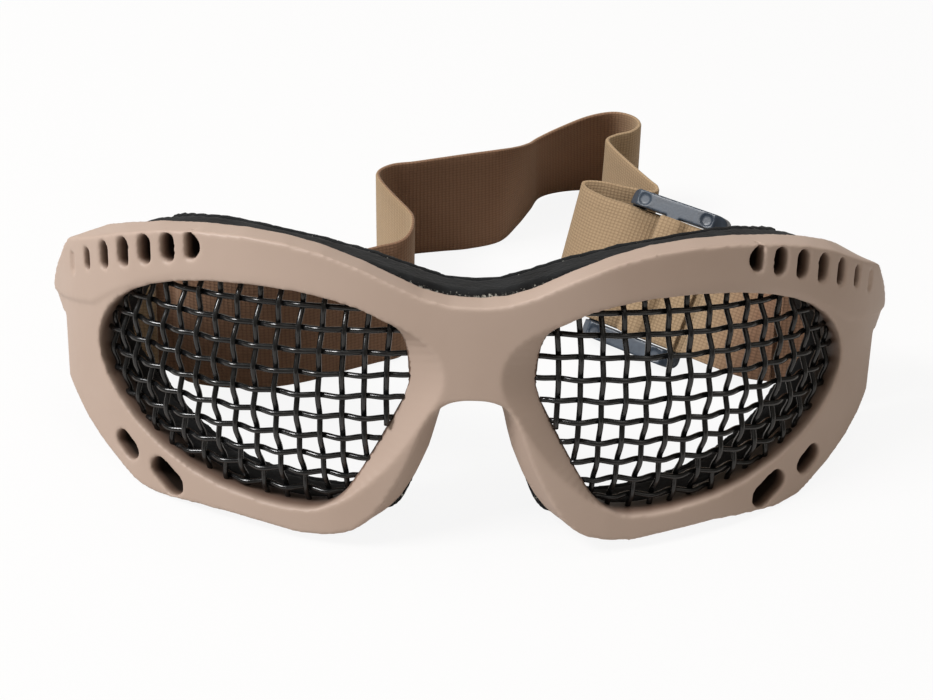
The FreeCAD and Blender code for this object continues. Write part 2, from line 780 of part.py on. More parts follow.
class StrapLay:
    """The strap's whole way from the left lug to the right one."""

    def __init__(self, stance):
        lug_y = stance.point(lug_middle()).y
        upright = stance.upright()
        self.left_pivot = stance.point(tail_end(left_tail_turn, -1))
        self.right_pivot = stance.point(tail_end(right_tail_turn, 1))
        self.axis = (self.right_pivot - self.left_pivot).normalize()
        self.slide_at = slide_middle(lug_y)
        self.along, self.wide, self.out = run_frame()
        shift = layer_shift()
        base = self.slide_at + self.out * shift
        lays = []
        for shares in (left_lay_shares, back_lay_shares, fold_lay_shares):
            lays.append([lay_section(s, lug_y) for s in shares])
        start = (self.left_pivot + self.axis * hinge_gap, upright)
        easing = (self.left_pivot + self.axis * (hinge_gap + strap_thick * 3), upright)
        self.line = [(base + self.along * s, self.wide) for s in self.line_stops()]
        last = (self.right_pivot - self.axis * hinge_gap, upright)
        stretches = [[start, easing] + lays[0], lays[1], lays[2] + self.line[:1]]
        self.cut(stretches, last, shift)

    def line_stops(self):
        """Distances along the straight run from the slide's middle."""
        reach = slide_length / 2 + run_margin
        sewn = sewn_tail + hinge_gap + run_margin
        return (-reach, 0.0, sewn, reach + slide_travel)

    def cut(self, stretches, last, shift):
        """Fill in each stretch and keep the sections where they meet."""
        whole = []
        marks = [0]
        for stretch in stretches:
            whole += stretch
            marks.append(len(whole) - 1)
        path = blend_sections(whole, lay_steps)
        marks = [m * lay_steps for m in marks]
        ease = blend_sections([self.line[-2], self.line[-1], last], 4 * lay_steps)[4 * lay_steps:]
        ease = ease[:-lay_steps] + ease[-1:]
        count = len(path)
        path += self.line[1:-1] + ease
        along = headings(path)
        for k in range(count - 1, count + 3):
            along[k] = self.along
        along[-1] = self.axis
        self.pieces = []
        for k in range(3):
            first, end = marks[k], marks[k + 1]
            self.pieces.append(ribbon(path[first:end + 1], along[first:end + 1], -shift))
        self.pieces.append(self.trimmed(ribbon(path[count - 1:], along[count - 1:], -shift)))
        self.back = ribbon(path[count + 1:], along[count + 1:], shift)

    def trimmed(self, stretch):
        """A stretch without what lies too near the right pivot, across the line through both."""
        start = self.right_pivot - self.axis * run_end_gap
        return stretch.cut(Part.makeCylinder(strap_width, overrun, start, self.axis))


def run_shape(shape, lay):
    """Set a shape drawn on the slide's own axes (along, up the width, out) in its place."""
    m = FreeCAD.Matrix()
    a, w, o, c = lay.along, lay.wide, lay.out, lay.slide_at
    m.A11, m.A21, m.A31 = a.x, a.y, a.z
    m.A12, m.A22, m.A32 = w.x, w.y, w.z
    m.A13, m.A23, m.A33 = o.x, o.y, o.z
    m.A14, m.A24, m.A34 = c.x, c.y, c.z
    moved = shape.copy()
    moved.Placement = FreeCAD.Placement(m).multiply(moved.Placement)
    return moved


def strap_slide():
    """The moulded slide: two raised rails, two rear bars and a raised middle bar."""
    rear, sewn, bar, loop = slide_levels()
    half = slide_length / 2
    inner = strap_width / 2 + slide_play
    top = bar + slide_bar_thick
    step = strap_thick / 2 + slide_play
    outline = [
        (-half, rear), (half, rear), (half, step), (slide_flat, top), (-slide_flat, top), (-half, step),
    ]
    rail = filled([V(a, inner, b) for a, b in outline]).extrude(V(0, slide_rail, 0))
    outer = []
    for e in rail.Edges:
        far = abs(e.CenterOfMass.y - inner - slide_rail) < hair
        if far and abs(abs(e.CenterOfMass.x) - half) < hair:
            outer.append(e)
    rail = rail.makeFillet(slide_corner, outer)
    for place in (-1, 1):
        mark = Part.makeCylinder(slide_mark, overrun, V(0, 0, 0), V(0, 0, 1))
        mark.translate(V(place * slide_mark_spread, inner + slide_rail / 2, top - slide_mark_deep))
        rail = rail.cut(mark)
    low_rail = rail.mirror(V(0, 0, 0), V(0, 1, 0))
    span = 2 * (inner + slide_rail / 2)
    bars = [Part.makeBox(slide_bar, span, slide_bar_thick, V(-slide_bar / 2, -span / 2, bar))]
    for place in (-half, half - slide_bar):
        bars.append(Part.makeBox(slide_bar, span, slide_bar_thick, V(place, -span / 2, rear)))
    return rail.fuse([low_rail] + bars).removeSplitter()


def sewn_end():
    """The strap's end, looped round the slide's raised bar and sewn back to itself."""
    rear, sewn, bar, loop = slide_levels()
    folded = sewn + 2 * layer_shift()
    wide = slide_bar / 2 + slide_play + strap_thick / 2
    ease = strap_thick * 0.9
    path = [
        (sewn_tail, folded), (sewn_apex, folded), (wide + ease / 2, loop), (ease - wide, loop),
        (-wide - ease / 4, loop - ease), (-wide - ease / 4, sewn + ease), (ease - wide, sewn),
        (sewn_tail + run_margin, sewn),
    ]
    turned = band_profile(path, strap_thick).extrude(V(0, 0, strap_width))
    turned.rotate(V(0, 0, 0), V(1, 0, 0), 90)
    turned.translate(V(0, strap_width / 2, 0))
    return turned


def main():
    os.makedirs("parts", exist_ok=True)
    body = frame()
    foam, lining = face_foam(), face_lining()
    stance = Stance([body, foam, lining])
    nodes = {"goggle_frame": body, "face_foam": foam, "face_lining": lining}
    for which, name in ((0, "weft"), (1, "warp")):
        right = mesh_wires(which)
        nodes["mesh_right_" + name] = right
        nodes["mesh_left_" + name] = right.mirror(V(0, 0, 0), V(1, 0, 0))
    nodes["strap_left_loop"] = lug_loop(left_tail_turn)
    nodes["strap_right_loop"] = lug_loop(right_tail_turn).mirror(V(0, 0, 0), V(1, 0, 0))
    nodes = {name: stance.lean(shape) for name, shape in nodes.items()}
    lay = StrapLay(stance)
    names = ("strap_left_run", "strap_back_run", "strap_slack_fold", "strap_adjuster_run")
    for name, shape in zip(names, lay.pieces):
        nodes[name] = shape
    nodes["strap_return"] = lay.back
    nodes["strap_sewn_end"] = run_shape(sewn_end(), lay)
    nodes["strap_slide"] = run_shape(strap_slide(), lay)
    box = Part.makeCompound(list(nodes.values())).optimalBoundingBox(False)
    shift = V(-(box.XMin + box.XMax) / 2, -(box.YMin + box.YMax) / 2, -box.ZMin)
    for name, shape in nodes.items():
        shape = shape.copy()
        shape.translate(shift)
        shape.exportStep("parts/" + name + ".step")
        print(name, shape.isValid(), len(shape.Solids), "volume", round(shape.Volume, 1))
    print("size", [round(s, 2) for s in (box.XLength, box.YLength, box.ZLength)])
    print("pivots", lay.left_pivot + shift, lay.right_pivot + shift)
    print("slide", lay.slide_at + shift, "along", lay.along)
    print("lift", stance.lift, "shift", shift)


main()
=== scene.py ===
import bpy
import bmesh
import math
import numpy as np
from mathutils import Matrix, Vector, noise


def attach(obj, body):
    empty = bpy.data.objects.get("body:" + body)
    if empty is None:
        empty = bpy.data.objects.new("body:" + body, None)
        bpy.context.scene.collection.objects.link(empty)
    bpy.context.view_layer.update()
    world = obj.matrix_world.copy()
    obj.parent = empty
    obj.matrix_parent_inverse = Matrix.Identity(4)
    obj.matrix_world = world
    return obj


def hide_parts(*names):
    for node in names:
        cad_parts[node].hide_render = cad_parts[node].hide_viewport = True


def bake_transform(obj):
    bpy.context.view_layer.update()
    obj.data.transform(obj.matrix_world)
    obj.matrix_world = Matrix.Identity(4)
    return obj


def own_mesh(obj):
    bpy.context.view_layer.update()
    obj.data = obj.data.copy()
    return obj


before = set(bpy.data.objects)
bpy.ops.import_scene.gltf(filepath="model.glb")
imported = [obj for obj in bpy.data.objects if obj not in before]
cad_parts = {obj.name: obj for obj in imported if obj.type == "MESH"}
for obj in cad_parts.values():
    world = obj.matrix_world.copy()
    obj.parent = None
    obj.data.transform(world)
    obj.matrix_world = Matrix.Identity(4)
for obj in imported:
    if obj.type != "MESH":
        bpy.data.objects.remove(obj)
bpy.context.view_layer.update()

# Everything is in metres. Places on the eyewear are worked out upright, with the bridge at zero,
# and are then leaned back onto the table.

# Stance
lean_back = math.radians(16)
bridge_spot = Vector((0, -0.0676018, 0.0466242))

# Moulded frame
half_width = 0.098
wrap_depth = 0.066
shell_wall = 0.008
frame_voxel = 0.00045
frame_rounds = 9

# Brow vents and lower slots
vent_count = 6
vent_width = 0.0035
vent_height = 0.0065
vent_side_margin = 0.0407
vent_pitch = 0.0062
vent_level = 0.0143
vent_step_down = 0.001
vent_curve_down = 0.00013
slot_width = 0.0051
slot_length = 0.009
slot_tilt = math.radians(38)
rim_drop = 0.045
slot_shares = ((0.765, -0.752, 0.84, 0.93), (0.666, -0.85, 1.1, 1.05))
# Painted shade inside the vents, slots and lens openings: how far it reaches past their edges, where it
# starts, and how deep it takes to darken fully
hollow_margin = 0.0005
hollow_start = 0.0005
hollow_depth = 0.0035
throat_depth = 0.0065

# Lens openings and woven wire
lens_turn = math.radians(22.4)
nose_half_gap = 0.0122
lens_side_margin = 0.017
lens_span = (half_width - lens_side_margin - nose_half_gap) / math.cos(lens_turn)
lens_rise = 0.008
lens_drop = 0.040
wire = 0.00105
mesh_pitch = 0.0046
weave_play = 0.00012
mesh_edge_play = 0.00012
mesh_inset = 0.0004
mesh_middle = lens_span / 2
mesh_level = -0.014
mesh_crown_across = 0.011
mesh_crown_up = 0.0042
mesh_half_span = lens_span / 2 + mesh_edge_play
mesh_half_height = 0.0235
wire_paint = 0.00007
wire_sides = 12
wire_steps = 8
wire_drift = 0.00013
wire_seat = 0.0012

# Foam gasket
foam_voxel = 0.0008
foam_rounds = 4
foam_rough = 0.00007
foam_rough_grain = 700
lining_start = 2.07 * shell_wall

# Side lugs
lug_thick = 0.004
lug_inset = 0.0106
lug_reach = 0.058
lug_level = -0.013
lug_bar = 0.0045

# Elastic strap
strap_width = 0.030
strap_thick = 0.0011
layer_gap = 0.00015
loop_play = 0.00035
tail_length = 0.0125
loop_apex = 0.007
left_tail_turn = math.radians(-4)
right_tail_turn = math.radians(8)
hinge_gap = 0.0008
lay_depth = 0.100
lay_steps = 12
# Painted shade on the strap: how far along the long run its inner side stays in shade tones, how far the
# lug run stays lit before shade, how long the return run starts in shade, and how gradually the shade
# fades in
shade_length = 0.218
shade_fade = 0.012
lug_shade = 0.030
return_shade = 0.004
rib_pitch = 0.0010
thread_pitch = 0.00078

# Slide
slide_length = 0.026
slide_rail = 0.0040
slide_bar = 0.0034
slide_bar_thick = 0.0015
slide_play = 0.00035
slide_back = 0.0211
slide_travel = 0.012
run_turn = math.radians(35)
run_lean = math.radians(35.5)
run_margin = 0.001
sewn_tail = 0.012
sewn_apex = 0.0046
slide_across_share = 0.464
slide_voxel = 0.00025
slide_rounds = 5

# Looks: colours are shares of red, green and blue, and grain scales are counts per metre
frame_base = (0.46, 0.36, 0.29)
frame_tones = ((0.445, 0.338, 0.275), (0.49, 0.38, 0.315))
frame_patches = 28.0
frame_waves = 120.0
frame_grain = 5200.0
frame_bump = 0.00003
scuff_tone = (0.62, 0.52, 0.44)
scuff_grain = 900.0
scuff_share = 0.35
# Painted shade laid over the plastic's colour, from none at the mouth of an opening to near black deep
# inside
hollow_shade_tones = ((1, 1, 1), (0.42, 0.36, 0.33), (0.05, 0.042, 0.038))
wire_base = (0.005, 0.0055, 0.006)
wire_tones = ((0.0035, 0.004, 0.0045), (0.010, 0.011, 0.012))
wire_patches = 420.0
wire_grain = 2400.0
wire_bump = 0.00004
foam_tones = ((0.0065, 0.007, 0.0075), (0.018, 0.0195, 0.021))
foam_cells = 900.0
lining_tones = ((0.006, 0.0065, 0.007), (0.016, 0.0175, 0.019))
lining_cells = 1500.0
foam_patches = 160.0
foam_grain = 2600.0
foam_bump = 0.00012
glue_tone = (0.42, 0.42, 0.38)
glue_crumbs = 1300.0
glue_patches = 90.0
strap_base = (0.42, 0.29, 0.17)
# Lit tones of the webbing and darker copies of them as painted shade; each pair runs from the grooves of
# the weave, darker as painted shade, to its tops
strap_tones = ((0.31, 0.215, 0.125), (0.43, 0.305, 0.185))
strap_shade_tones = ((0.19, 0.106, 0.064), (0.26, 0.148, 0.09))
strap_worn_tones = ((0.7, 0.68, 0.66), (1, 1, 1))
strap_sheen_tone = (0.9, 0.78, 0.62)
strap_wobble = 400.0
strap_patches = 60.0
strap_fuzz = 5000.0
strap_bump = 0.00013
slide_base = (0.035, 0.045, 0.062)
slide_tones = ((0.022, 0.032, 0.048), (0.062, 0.085, 0.118))
slide_swirls = 160.0
slide_grain = 1800.0
slide_bump = 0.00003
mask_tones = ((0, 0, 0), (1, 1, 1))

# Stage, lamps and camera
floor_half = 3.0
floor_level = -0.0001
floor_tone = (0.72, 0.70, 0.68)
floor_glow = 0.9
room_tone = (1.0, 0.9, 0.78)
room_light = 0.21
lamp_aim = Vector((0, -0.03, 0.03))
# Name, place, size, power and colour
lamps = (
    ("key", (-0.8, -0.22, 1.0), 0.4, 15.5, (1.0, 0.995, 1.0)),
    ("fill", (0.3, -0.6, 0.9), 0.8, 1.0, (1.0, 0.93, 0.84)),
    ("top", (0.1, 0.2, 1.0), 0.5, 2.5, (1.0, 0.98, 0.95)),
)
camera_spot = (-0.0055309, -0.3226392, 0.2227642)
camera_forward = (0.0132015, 0.81906345, -0.57355103)
camera_up = (-0.02163031, 0.57370072, 0.81877934)
camera_sensor = 36
picture_width = 933
picture_focus = 1569

lens_shares = (
    (0.031, -0.237), (0.036, -0.1), (0.052, 0.1), (0.108, 0.5), (0.197, 0.775), (0.304, 0.95),
    (0.417, 1.0), (0.545, 0.96), (0.685, 0.775), (0.813, 0.41), (0.911, -0.02), (0.973, -0.145),
    (1.0, -0.29), (0.981, -0.44), (0.926, -0.57), (0.87, -0.66), (0.786, -0.76), (0.687, -0.85),
    (0.605, -0.907), (0.51, -0.95), (0.417, -0.978), (0.33, -0.99), (0.25, -0.97),
    (0.208, -0.915), (0.165, -0.8), (0.116, -0.625), (0.063, -0.425),
)
# Strap lay: shares of half_width across and of lay_depth behind the lugs, then the lift of its
# lower edge and its lean across and back as shares of strap_width
lay_shares = (
    (-0.675, -0.03, 0.08, 0.0, 0.25), (-0.58, -0.042, 0.03, 0.0, 0.16),
    (-0.48, -0.034, 0.01, 0.0, 0.12), (-0.388, 0.0, 0.003, 0.0, 0.14),
    (-0.3, 0.055, 0.0, 0.0, 0.2), (-0.225, 0.094, 0.0, 0.0, 0.22),
    (-0.17, 0.122, 0.0, 0.0, 0.24), (-0.144, 0.17, 0.0, 0.0, 0.22),
    (-0.139, 0.235, 0.0, 0.0, 0.18), (-0.151, 0.285, 0.0, 0.0, 0.1),
    (-0.192, 0.37, 0.0, 0.0, 0.02), (-0.227, 0.45, 0.0, 0.0, -0.04),
    (-0.235, 0.5, 0.0, 0.0, -0.08), (-0.204, 0.538, 0.0, 0.0, -0.1),
    (-0.15, 0.555, 0.0, 0.0, -0.11), (-0.08, 0.575, 0.0, -0.02, -0.09),
    (0.0, 0.598, 0.0, -0.03, -0.06), (0.083, 0.632, 0.0, -0.04, -0.1),
    (0.133, 0.69, 0.0, -0.05, -0.28), (0.17, 0.755, 0.0, -0.066, -0.44),
    (0.2, 0.815, 0.0, -0.073, -0.54), (0.262, 0.86, 0.0, -0.086, -0.48),
    (0.345, 0.893, 0.0, -0.092, -0.34), (0.412, 0.892, 0.0, -0.08, -0.22),
    (0.455, 0.856, 0.0, -0.06, -0.14), (0.466, 0.805, 0.0, -0.04, -0.08),
    (0.44, 0.76, 0.0, -0.02, -0.04), (0.396, 0.733, 0.0, 0.0, 0.0),
    (0.366, 0.703, 0.0, 0.0, 0.0), (0.369, 0.664, 0.0, 0.01, 0.01),
    (0.391, 0.605, 0.0, 0.02, 0.02), (0.422, 0.535, 0.0, 0.03, 0.03),
    (0.452, 0.47, 0.0, 0.04, 0.04), (0.466, 0.438, 0.0, 0.05, 0.05),
    (0.455, 0.418, 0.0, 0.06, 0.05), (0.39, 0.43, 0.01, 0.09, 0.06),
    (0.315, 0.445, 0.02, 0.15, 0.13), (0.262, 0.436, 0.03, 0.2, 0.22),
    (0.255, 0.405, 0.04, 0.24, 0.3), (0.272, 0.366, 0.07, 0.3, 0.4),
    (0.302, 0.325, 0.11, 0.36, 0.5),
)


# Places

def leaned(p):
    """A place on the upright eyewear, as it stands on the table."""
    c, s = math.cos(lean_back), math.sin(lean_back)
    return bridge_spot + Vector((p.x, p.y * c + p.z * s, p.z * c - p.y * s))


def upright(p):
    """The reverse of leaned."""
    c, s = math.cos(lean_back), math.sin(lean_back)
    q = p - bridge_spot
    return Vector((q.x, q.y * c - q.z * s, q.y * s + q.z * c))


def wrap_y(x):
    share = x / half_width
    return wrap_depth - wrap_depth * math.sqrt(max(1 - share * share, 0))


def wrap_inset(p):
    """How deep a place lies behind the wrapped front surface."""
    low, high = -shell_wall / 4, 4 * shell_wall
    back = min(p.y, wrap_depth) - wrap_depth
    for step in range(24):
        inset = (low + high) / 2
        reach = math.hypot(p.x / (half_width - inset), back / (wrap_depth - inset))
        if reach > 1:
            high = inset
        else:
            low = inset
    return low


def blended(points, steps, closed=False):
    """Catmull-Rom points through the given ones; each is a list of vectors."""
    found = []
    last = len(points) - 1
    for k in range(last + 1 if closed else last):
        near = (k - 1, k, k + 1, k + 2)
        if closed:
            four = [points[n % (last + 1)] for n in near]
        else:
            four = [points[min(max(n, 0), last)] for n in near]
        for n in range(steps):
            t = n / steps
            mixed = []
            for a, b, c, d in zip(*four):
                bend = (c - a) * t + (a * 2 - b * 5 + c * 4 - d) * t ** 2
                mixed.append(b + (bend + (b * 3 - a - c * 3 + d) * t ** 3) / 2)
            found.append(mixed)
    return found if closed else found + [list(points[-1])]


# Mesh building

def new_object(name, verts, faces, smooth=True):
    mesh = bpy.data.meshes.new(name)
    mesh.from_pydata([tuple(v) for v in verts], [], faces)
    mesh.update()
    obj = bpy.data.objects.new(name, mesh)
    bpy.context.scene.collection.objects.link(obj)
    if smooth:
        mesh.shade_smooth()
    return obj


def baked(obj):
    """Apply the object's modifiers to its mesh."""
    graph = bpy.context.evaluated_depsgraph_get()
    mesh = bpy.data.meshes.new_from_object(obj.evaluated_get(graph))
    obj.modifiers.clear()
    obj.data = mesh
    return obj


def softened(node, name, voxel, rounds):
    """A copy of a CAD node with its edges and corners rounded off."""
    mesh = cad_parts[node].data.copy()
    work = bmesh.new()
    work.from_mesh(mesh)
    bmesh.ops.remove_doubles(work, verts=work.verts, dist=voxel / 100)
    work.to_mesh(mesh)
    work.free()
    mesh.materials.clear()
    obj = bpy.data.objects.new(name, mesh)
    bpy.context.scene.collection.objects.link(obj)
    remesh = obj.modifiers.new("remesh", "REMESH")
    remesh.mode = "VOXEL"
    remesh.voxel_size = voxel
    smooth = obj.modifiers.new("smooth", "SMOOTH")
    smooth.factor = 0.5
    smooth.iterations = rounds
    baked(obj)
    obj.data.shade_smooth()
    return obj


def tube_rings(rings, verts, faces):
    """Add a closed tube through rings of points."""
    count = len(rings[0])
    base = len(verts)
    for ring in rings:
        verts.extend(ring)
    for k in range(len(rings) - 1):
        for n in range(count):
            a = base + k * count + n
            b = base + k * count + (n + 1) % count
            faces.append((a, b, b + count, a + count))
    faces.append(tuple(reversed(range(base, base + count))))
    end = base + (len(rings) - 1) * count
    faces.append(tuple(range(end, end + count)))


def set_values(obj, name, values):
    """Keep one number per vertex for the material."""
    layer = obj.data.attributes.new(name, "FLOAT", "POINT")
    layer.data.foreach_set("value", values)


def dressed(obj, body, look, slot, *nodes):
    """Give a piece its material and its body, and hide the CAD nodes that it stands for."""
    obj.data.materials.clear()
    obj.data.materials.append(look)
    if body:
        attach(obj, body)
    if nodes:
        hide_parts(*nodes)
    return obj


# Materials

def look(name, colour, rough, **more):
    """A new material and its node tree, with plain values set on the shader."""
    mat = bpy.data.materials.new(name)
    mat.use_nodes = True
    shader = mat.node_tree.nodes["Principled BSDF"]
    shader.inputs["Base Color"].default_value = (*colour, 1)
    shader.inputs["Roughness"].default_value = rough
    for key, value in more.items():
        shader.inputs[key.replace("_", " ")].default_value = value
    return mat, mat.node_tree, shader


def add(tree, kind, inputs=None, **settings):
    made = tree.nodes.new(kind)
    for key, value in settings.items():
        setattr(made, key, value)
    for key, value in (inputs or {}).items():
        if isinstance(value, bpy.types.NodeSocket):
            tree.links.new(value, made.inputs[key])
        else:
            made.inputs[key].default_value = value
    return made


def math_node(tree, operation, *values):
    made = tree.nodes.new("ShaderNodeMath")
    made.operation = operation
    for k, value in enumerate(values):
        if isinstance(value, bpy.types.NodeSocket):
            tree.links.new(value, made.inputs[k])
        else:
            made.inputs[k].default_value = value
    return made.outputs[0]


def ramp(tree, value, places, tones):
    """A colour ramp with its tones at the given places."""
    made = add(tree, "ShaderNodeValToRGB", {"Fac": value})
    spots = made.color_ramp.elements
    while len(spots) < len(places):
        spots.new(0.5)
    for spot, place, tone in zip(spots, places, tones):
        spot.position = place
        spot.color = (*tone, 1)
    return made.outputs["Color"]


def mixed(tree, factor, a, b, blend="MIX"):
    """One colour laid over another; the factor and both colours may be sockets or plain values."""
    inputs = {"Factor": factor, "A": a, "B": b}
    for key in ("A", "B"):
        if not isinstance(inputs[key], bpy.types.NodeSocket):
            inputs[key] = (*inputs[key], 1)
    return add(tree, "ShaderNodeMix", inputs, data_type="RGBA", blend_type=blend).outputs["Result"]


def attribute(tree, name):
    return add(tree, "ShaderNodeAttribute", attribute_name=name).outputs["Fac"]


def object_place(tree):
    return add(tree, "ShaderNodeTexCoord").outputs["Object"]


def noise_value(tree, where, scale, detail=3.0, rough=0.5):
    inputs = {"Vector": where, "Scale": scale, "Detail": detail, "Roughness": rough}
    return add(tree, "ShaderNodeTexNoise", inputs).outputs["Fac"]


def bump(tree, shader, height, distance, strength=1.0):
    inputs = {"Height": height, "Distance": distance, "Strength": strength}
    made = add(tree, "ShaderNodeBump", inputs)
    tree.links.new(made.outputs["Normal"], shader.inputs["Normal"])
    return made


def finish_look(tree, shader, colour, rough, height, depth, strength):
    """Lead a look's colour, roughness and surface height to its shader."""
    tree.links.new(colour, shader.inputs["Base Color"])
    if rough:
        tree.links.new(rough, shader.inputs["Roughness"])
    bump(tree, shader, height, depth, strength)


def frame_look():
    """Fine-grained moulded plastic, slightly uneven, with a few pale scuffs, and painted shade darkening
    the insides of its lens openings, vents and slots.
    """
    mat, tree, shader = look("frame_plastic", frame_base, 0.5, Specular_IOR_Level=0.4)
    where = object_place(tree)
    colour = ramp(tree, noise_value(tree, where, frame_patches, 2.0), (0.3, 0.7), frame_tones)
    scuffs = ramp(tree, noise_value(tree, where, scuff_grain, 2.0, 0.7), (0.74, 0.82), mask_tones)
    colour = mixed(tree, math_node(tree, "MULTIPLY", scuffs, scuff_share), colour, scuff_tone)
    # Painted shade: darker the deeper a place lies inside a lens opening, vent or slot
    depth = ramp(tree, attribute(tree, "hollow_shade"), (0.0, 0.35, 0.8), hollow_shade_tones)
    colour = mixed(tree, 1.0, colour, depth, "MULTIPLY")
    wave = noise_value(tree, where, frame_waves, 2.0)
    rough = math_node(tree, "MULTIPLY_ADD", wave, 0.16, 0.42)
    height = math_node(tree, "MULTIPLY_ADD", wave, 1.5, noise_value(tree, where, frame_grain, 2.0))
    finish_look(tree, shader, colour, rough, height, frame_bump, 0.6)
    return mat


def wire_look():
    """Glossy black paint on steel wire, duller in places."""
    mat, tree, shader = look("mesh_wire", wire_base, 0.24, Specular_IOR_Level=0.4,
                             Coat_Weight=0.3, Coat_Roughness=0.12)
    where = object_place(tree)
    patch = noise_value(tree, where, wire_patches, 3.0)
    colour = ramp(tree, patch, (0.35, 0.75), wire_tones)
    rough = math_node(tree, "MULTIPLY_ADD", patch, 0.24, 0.12)
    height = noise_value(tree, where, wire_grain, 2.0)
    finish_look(tree, shader, colour, rough, height, wire_bump, 0.5)
    return mat


def foam_look(name, tones, cell):
    """Soft black foam with open cells, and pale crumbs of glue along its joints."""
    mat, tree, shader = look(name, tones[0], 0.95, Specular_IOR_Level=0.2,
                             Sheen_Weight=0.05, Sheen_Roughness=0.5)
    where = object_place(tree)
    cells = add(tree, "ShaderNodeTexVoronoi", {"Vector": where, "Scale": cell})
    colour = ramp(tree, noise_value(tree, where, foam_patches, 4.0), (0.3, 0.75), tones)
    crumbs = noise_value(tree, where, glue_crumbs, 4.0, 0.75)
    edge = math_node(tree, "MULTIPLY_ADD", noise_value(tree, where, glue_patches, 2.0), 0.35, crumbs)
    edge = math_node(tree, "MULTIPLY", edge, attribute(tree, "joint"))
    colour = mixed(tree, ramp(tree, edge, (0.63, 0.69), mask_tones), colour, glue_tone)
    fine = noise_value(tree, where, foam_grain, 3.0)
    height = math_node(tree, "MULTIPLY_ADD", fine, 0.6, cells.outputs["Distance"])
    finish_look(tree, shader, colour, None, height, foam_bump, 0.8)
    return mat


def strap_look():
    """Ribbed elastic webbing: cross ribs over lengthwise threads, with painted shade in the grooves
    between them, and painted shade tones where the strap lies in shadow.
    """
    mat, tree, shader = look("elastic_webbing", strap_base, 0.85, Specular_IOR_Level=0.25,
                             Sheen_Weight=0.3, Sheen_Roughness=0.45, Sheen_Tint=(*strap_sheen_tone, 1))
    spot = add(tree, "ShaderNodeUVMap", uv_map="strap").outputs["UV"]
    parts = add(tree, "ShaderNodeSeparateXYZ", {"Vector": spot})
    wobble = noise_value(tree, spot, strap_wobble, 2.0)
    waves = []
    for axis, pitch in (("X", thread_pitch), ("Y", rib_pitch)):
        value = math_node(tree, "MULTIPLY_ADD", wobble, pitch / 3, parts.outputs[axis])
        turn = math_node(tree, "MULTIPLY", value, math.pi / pitch)
        wave = math_node(tree, "ABSOLUTE", math_node(tree, "SINE", turn))
        waves.append(math_node(tree, "POWER", wave, 0.55))
    weave = math_node(tree, "MULTIPLY", *waves)
    # Painted shade in the weave's grooves: low weave values take the darker tone
    light, dark = (ramp(tree, weave, (0.15, 0.75), tones) for tones in (strap_tones, strap_shade_tones))
    # Painted shade tones where the strap lies in shadow, lit tones elsewhere
    colour = mixed(tree, attribute(tree, "lit_share"), dark, light)
    worn = ramp(tree, noise_value(tree, spot, strap_patches, 3.0), (0.3, 0.7), strap_worn_tones)
    colour = mixed(tree, 0.35, colour, worn, "MULTIPLY")
    height = math_node(tree, "MULTIPLY_ADD", noise_value(tree, spot, strap_fuzz, 2.0), 0.25, weave)
    finish_look(tree, shader, colour, None, height, strap_bump, 0.7)
    return mat


def slide_look():
    """Dark blue-grey moulded plastic with soft swirls and fine scratches."""
    mat, tree, shader = look("slide_plastic", slide_base, 0.32, Specular_IOR_Level=0.5)
    where = object_place(tree)
    inputs = {"Vector": where, "Scale": slide_swirls, "Distortion": 1.2}
    swirl = add(tree, "ShaderNodeTexNoise", inputs).outputs["Fac"]
    colour = ramp(tree, swirl, (0.3, 0.75), slide_tones)
    rough = math_node(tree, "MULTIPLY_ADD", swirl, 0.3, 0.24)
    height = noise_value(tree, where, slide_grain, 3.0)
    finish_look(tree, shader, colour, rough, height, slide_bump, 0.5)
    return mat


# Frame and gasket

def wrap_slope(x):
    share = x / half_width
    return wrap_depth / half_width * share / math.sqrt(1 - share * share)


def hole_places():
    """The right side's vents and slots: x, z, half width, half height and turn."""
    places = []
    x = half_width - vent_side_margin
    for k in range(vent_count):
        level = vent_level - vent_step_down * k - vent_curve_down * k * k
        places.append((x, level, vent_width / 2, vent_height / 2, 0.0))
        x += vent_pitch / math.hypot(1, wrap_slope(x))
    for across, down, long_share, wide_share in slot_shares:
        half = (slot_width * wide_share / 2, slot_length * long_share / 2)
        places.append((across * half_width, down * rim_drop, *half, math.pi / 2 - slot_tilt))
    return places


